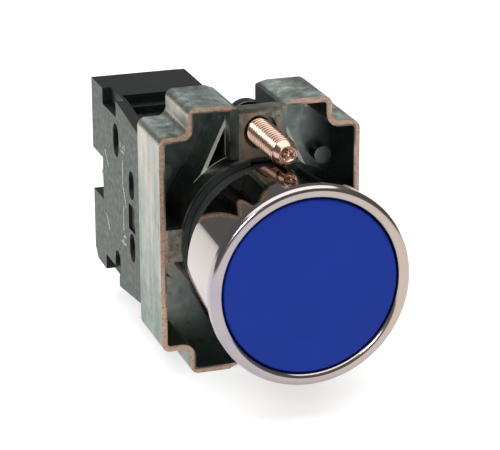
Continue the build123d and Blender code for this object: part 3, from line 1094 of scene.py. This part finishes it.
@dataclass
class ContactBlock:
    """Housing, cover and the printed contact symbol of the contact block."""

    face_x: float = -14.6
    edge_round: float = 0.12
    ink_t: float = 0.03
    stroke: float = 0.28
    # Ends of each stroke as y, z, y, z: the contact, two plain strokes, numeral 3, numeral 4.
    strokes: tuple[tuple[float, float, float, float], ...] = (
        (28.1, 6.4, 28.1, 2.6),
        (28.1, 2.6, 26.6, -0.4),
        (28.1, -0.9, 28.1, -4.4),
        (36.4, 3.0, 38.2, 5.0),
        (36.4, -7.2, 38.2, -5.2),
        (27.0, 9.0, 27.0, 8.1),
        (27.0, 8.1, 27.5, 7.6),
        (27.5, 7.6, 28.1, 8.1),
        (28.1, 8.6, 28.1, 8.1),
        (28.1, 8.1, 28.7, 7.6),
        (28.7, 7.6, 29.2, 8.1),
        (29.2, 8.1, 29.2, 9.0),
        (27.0, -5.4, 28.2, -5.4),
        (28.2, -5.4, 28.2, -7.0),
        (27.0, -6.6, 29.2, -6.6),
    )

    def ink(self) -> bmesh.types.BMesh:
        """Lays the symbol's strokes on the left face.

        Returns:
            The strokes' mesh.
        """
        bars = []
        for y0, z0, y1, z1 in self.strokes:
            length = math.hypot(y1 - y0, z1 - z0) + self.stroke
            corner = (length / 2, self.stroke / 2)
            bar = box((-self.ink_t, -corner[0], -corner[1]), (0.0, *corner))
            soften(bar, 0.01, 30, 2)
            turn = Matrix.Rotation(math.atan2(z1 - z0, y1 - y0), 4, "X")
            shift = Matrix.Translation(Vector((self.face_x, (y0 + y1) / 2, (z0 + z1) / 2)) * MM)
            bmesh.ops.transform(bar, matrix=shift @ turn, verts=bar.verts)
            bars.append(bar)
        return joined(bars)

    def make_all(self) -> None:
        """Makes the block's outer pieces."""
        for node, name in (("contact_housing", "block_case"), ("contact_cover", "block_cover")):
            bm = node_copy(node)
            soften(bm, self.edge_round, 40, 2)
            flatten(place(bm, name, BlockPlastic(), "frame", [node]))
        place(self.ink(), "contact_symbol", PrintInk(), "frame", [])


@dataclass
class CoilSpring:
    """A wound spring between two seats on a line along Y."""

    node: str
    body: str
    joint: str
    mean_r: float
    wire_r: float
    turns: int
    front: float
    rear: float
    keep: float
    centre_x: float = 0.0
    steps: int = 30

    def make_all(self) -> None:
        """Winds the spring."""
        bm = bmesh.new()
        ring = bmesh.ops.create_circle(bm, segments=10, radius=self.wire_r * MM)["verts"]
        start = Vector((self.centre_x + self.mean_r, self.front + self.wire_r, 0.0)) * MM
        bmesh.ops.translate(bm, vec=start, verts=ring)
        climb = (self.rear - self.front - 2 * self.wire_r) * MM
        count = self.steps * self.turns
        bmesh.ops.spin(
            bm,
            geom=bm.verts[:] + bm.edges[:],
            cent=(self.centre_x * MM, 0, 0),
            axis=(0, 1, 0),
            dvec=(0, climb / count, 0),
            angle=math.tau * self.turns,
            steps=count,
        )
        open_edges = [e for e in bm.edges if e.is_boundary]
        bmesh.ops.holes_fill(bm, edges=open_edges)
        bmesh.ops.recalc_face_normals(bm, faces=bm.faces)
        piece = place(bm, f"{self.node}_coil", SPRING_WIRE, self.body, [self.node])
        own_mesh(piece)


@dataclass
class SmallParts:
    """Inner and small pieces that keep the frame's own shape."""

    finishes: dict[str, Finish] = field(
        default_factory=lambda: {
            "barrel": BlackMoulding(),
            "plunger": BlackMoulding(),
            "plunger_seal": BlackMoulding(roughness=0.6),
            "contact_plunger": BlackMoulding(),
            "retaining_ring": SPRING_WIRE,
            "block_fixing_screw": PLATED_STEEL,
            "contact_bridge": CONTACT_BRASS,
            "top_terminal": CONTACT_BRASS,
            "bottom_terminal": CONTACT_BRASS,
            "top_wire_clamp": PLATED_STEEL,
            "bottom_wire_clamp": PLATED_STEEL,
            "top_terminal_screw": PLATED_STEEL,
            "bottom_terminal_screw": PLATED_STEEL,
        }
    )

    def make_all(self) -> None:
        """Dresses the frame's own nodes."""
        for node, finish in self.finishes.items():
            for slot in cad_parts[node].material_slots:
                slot.material = finish.material()


# --------------------------------------------------------------------------- studio


@dataclass(frozen=True)
class Lamp:
    """A soft square lamp."""

    name: str
    spot: tuple[float, float, float]
    size: tuple[float, float]
    watts: float
    colour: Colour = (1.0, 1.0, 1.0)

    def make(self, target: Vector) -> None:
        """Hangs the lamp and turns it to a target.

        Args:
            target: What it lights.
        """
        data = bpy.data.lights.new(self.name, "AREA")
        data.shape = "RECTANGLE"
        data.size, data.size_y = self.size
        data.energy = self.watts
        data.color = self.colour
        lamp = bpy.data.objects.new(self.name, data)
        bpy.context.collection.objects.link(lamp)
        lamp.location = self.spot
        lamp.rotation_euler = (target - lamp.location).to_track_quat("-Z", "Y").to_euler()


@dataclass
class Studio:
    """Floor, lamps, background and camera."""

    camera_spot: tuple[float, float, float] = (-95.505, -273.923, 107.717)
    camera_right: tuple[float, float, float] = (0.94821379, -0.31762619, -0.00205003)
    camera_up: tuple[float, float, float] = (0.1086866, 0.31838559, 0.94171006)
    lens: float = 158.4
    sensor: float = 36.0
    floor_z: float = -20.05
    floor_size: float = 3.0
    daylight: float = 0.18
    lamps: tuple[Lamp, ...] = (
        Lamp("sky", (0.0, 0.1, 0.9), (1.4, 1.4), 15.0),
        Lamp("key", (-0.45, -0.55, 0.45), (0.25, 0.25), 2.5),
    )

    def make_floor(self) -> None:
        """Lays the floor just under the object."""
        bm = bmesh.new()
        bmesh.ops.create_grid(bm, x_segments=1, y_segments=1, size=self.floor_size)
        bmesh.ops.translate(bm, vec=(0, 0, self.floor_z * MM), verts=bm.verts)
        mesh = bpy.data.meshes.new("floor")
        bm.to_mesh(mesh)
        bm.free()
        floor = bpy.data.objects.new("floor", mesh)
        mesh.materials.append(StudioFloor().material())
        bpy.context.collection.objects.link(floor)

    def make_light(self) -> None:
        """Hangs the lamps and sets the faint light from all round."""
        for lamp in self.lamps:
            lamp.make(Vector((0, 0, 0)))
        world = bpy.data.worlds.new("studio")
        world.use_nodes = True
        background = world.node_tree.nodes["Background"]
        background.inputs["Color"].default_value = (1, 1, 1, 1)
        background.inputs["Strength"].default_value = self.daylight
        bpy.context.scene.world = world

    def make_camera(self) -> None:
        """Sets up the camera."""
        data = bpy.data.cameras.new("camera")
        data.sensor_width = self.sensor
        data.lens = self.lens
        camera = bpy.data.objects.new("camera", data)
        bpy.context.collection.objects.link(camera)
        right, up = Vector(self.camera_right), Vector(self.camera_up)
        back = right.cross(up)
        turn = Matrix((right, up, back)).transposed()
        camera.matrix_world = Matrix.Translation(Vector(self.camera_spot) * MM) @ turn.to_4x4()
        bpy.context.scene.camera = camera
        bpy.context.scene.view_settings.view_transform = "Standard"

    def make_all(self) -> None:
        """Builds the studio round the object."""
        self.make_floor()
        self.make_light()
        self.make_camera()


SPRINGS = (
    CoilSpring(
        node="return_spring",
        body="frame",
        joint="button_press",
        mean_r=6.4,
        wire_r=0.4,
        turns=5,
        front=-7.0,
        rear=2.6,
        keep=0.552,
    ),
    CoilSpring(
        node="plunger_spring",
        body="frame",
        joint="contact_pin_slide",
        mean_r=2.2,
        wire_r=0.25,
        turns=6,
        front=28.7,
        rear=38.3,
        keep=0.552,
        centre_x=-7.05,
    ),
    CoilSpring(
        node="contact_spring",
        body="bridge",
        joint="bridge_slide",
        mean_r=1.1,
        wire_r=0.2,
        turns=4,
        front=21.7,
        rear=26.3,
        keep=0.58,
        centre_x=-7.05,
    ),
)


def main() -> None:
    """Builds every sub-assembly, then the studio."""
    Head().make_all()
    MountingBody().make_all()
    for end in End:
        ClampScrew(end).make_all()
    ContactBlock().make_all()
    for spring in SPRINGS:
        spring.make_all()
    SmallParts().make_all()
    Studio().make_all()


logging.basicConfig(level=logging.INFO)
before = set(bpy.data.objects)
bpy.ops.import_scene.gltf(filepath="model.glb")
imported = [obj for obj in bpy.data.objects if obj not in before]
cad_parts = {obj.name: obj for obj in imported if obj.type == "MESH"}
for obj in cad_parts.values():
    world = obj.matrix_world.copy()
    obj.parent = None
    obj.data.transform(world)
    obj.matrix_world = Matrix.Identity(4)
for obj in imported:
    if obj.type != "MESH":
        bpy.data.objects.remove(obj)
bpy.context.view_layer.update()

if __name__ == "__main__":
    main()
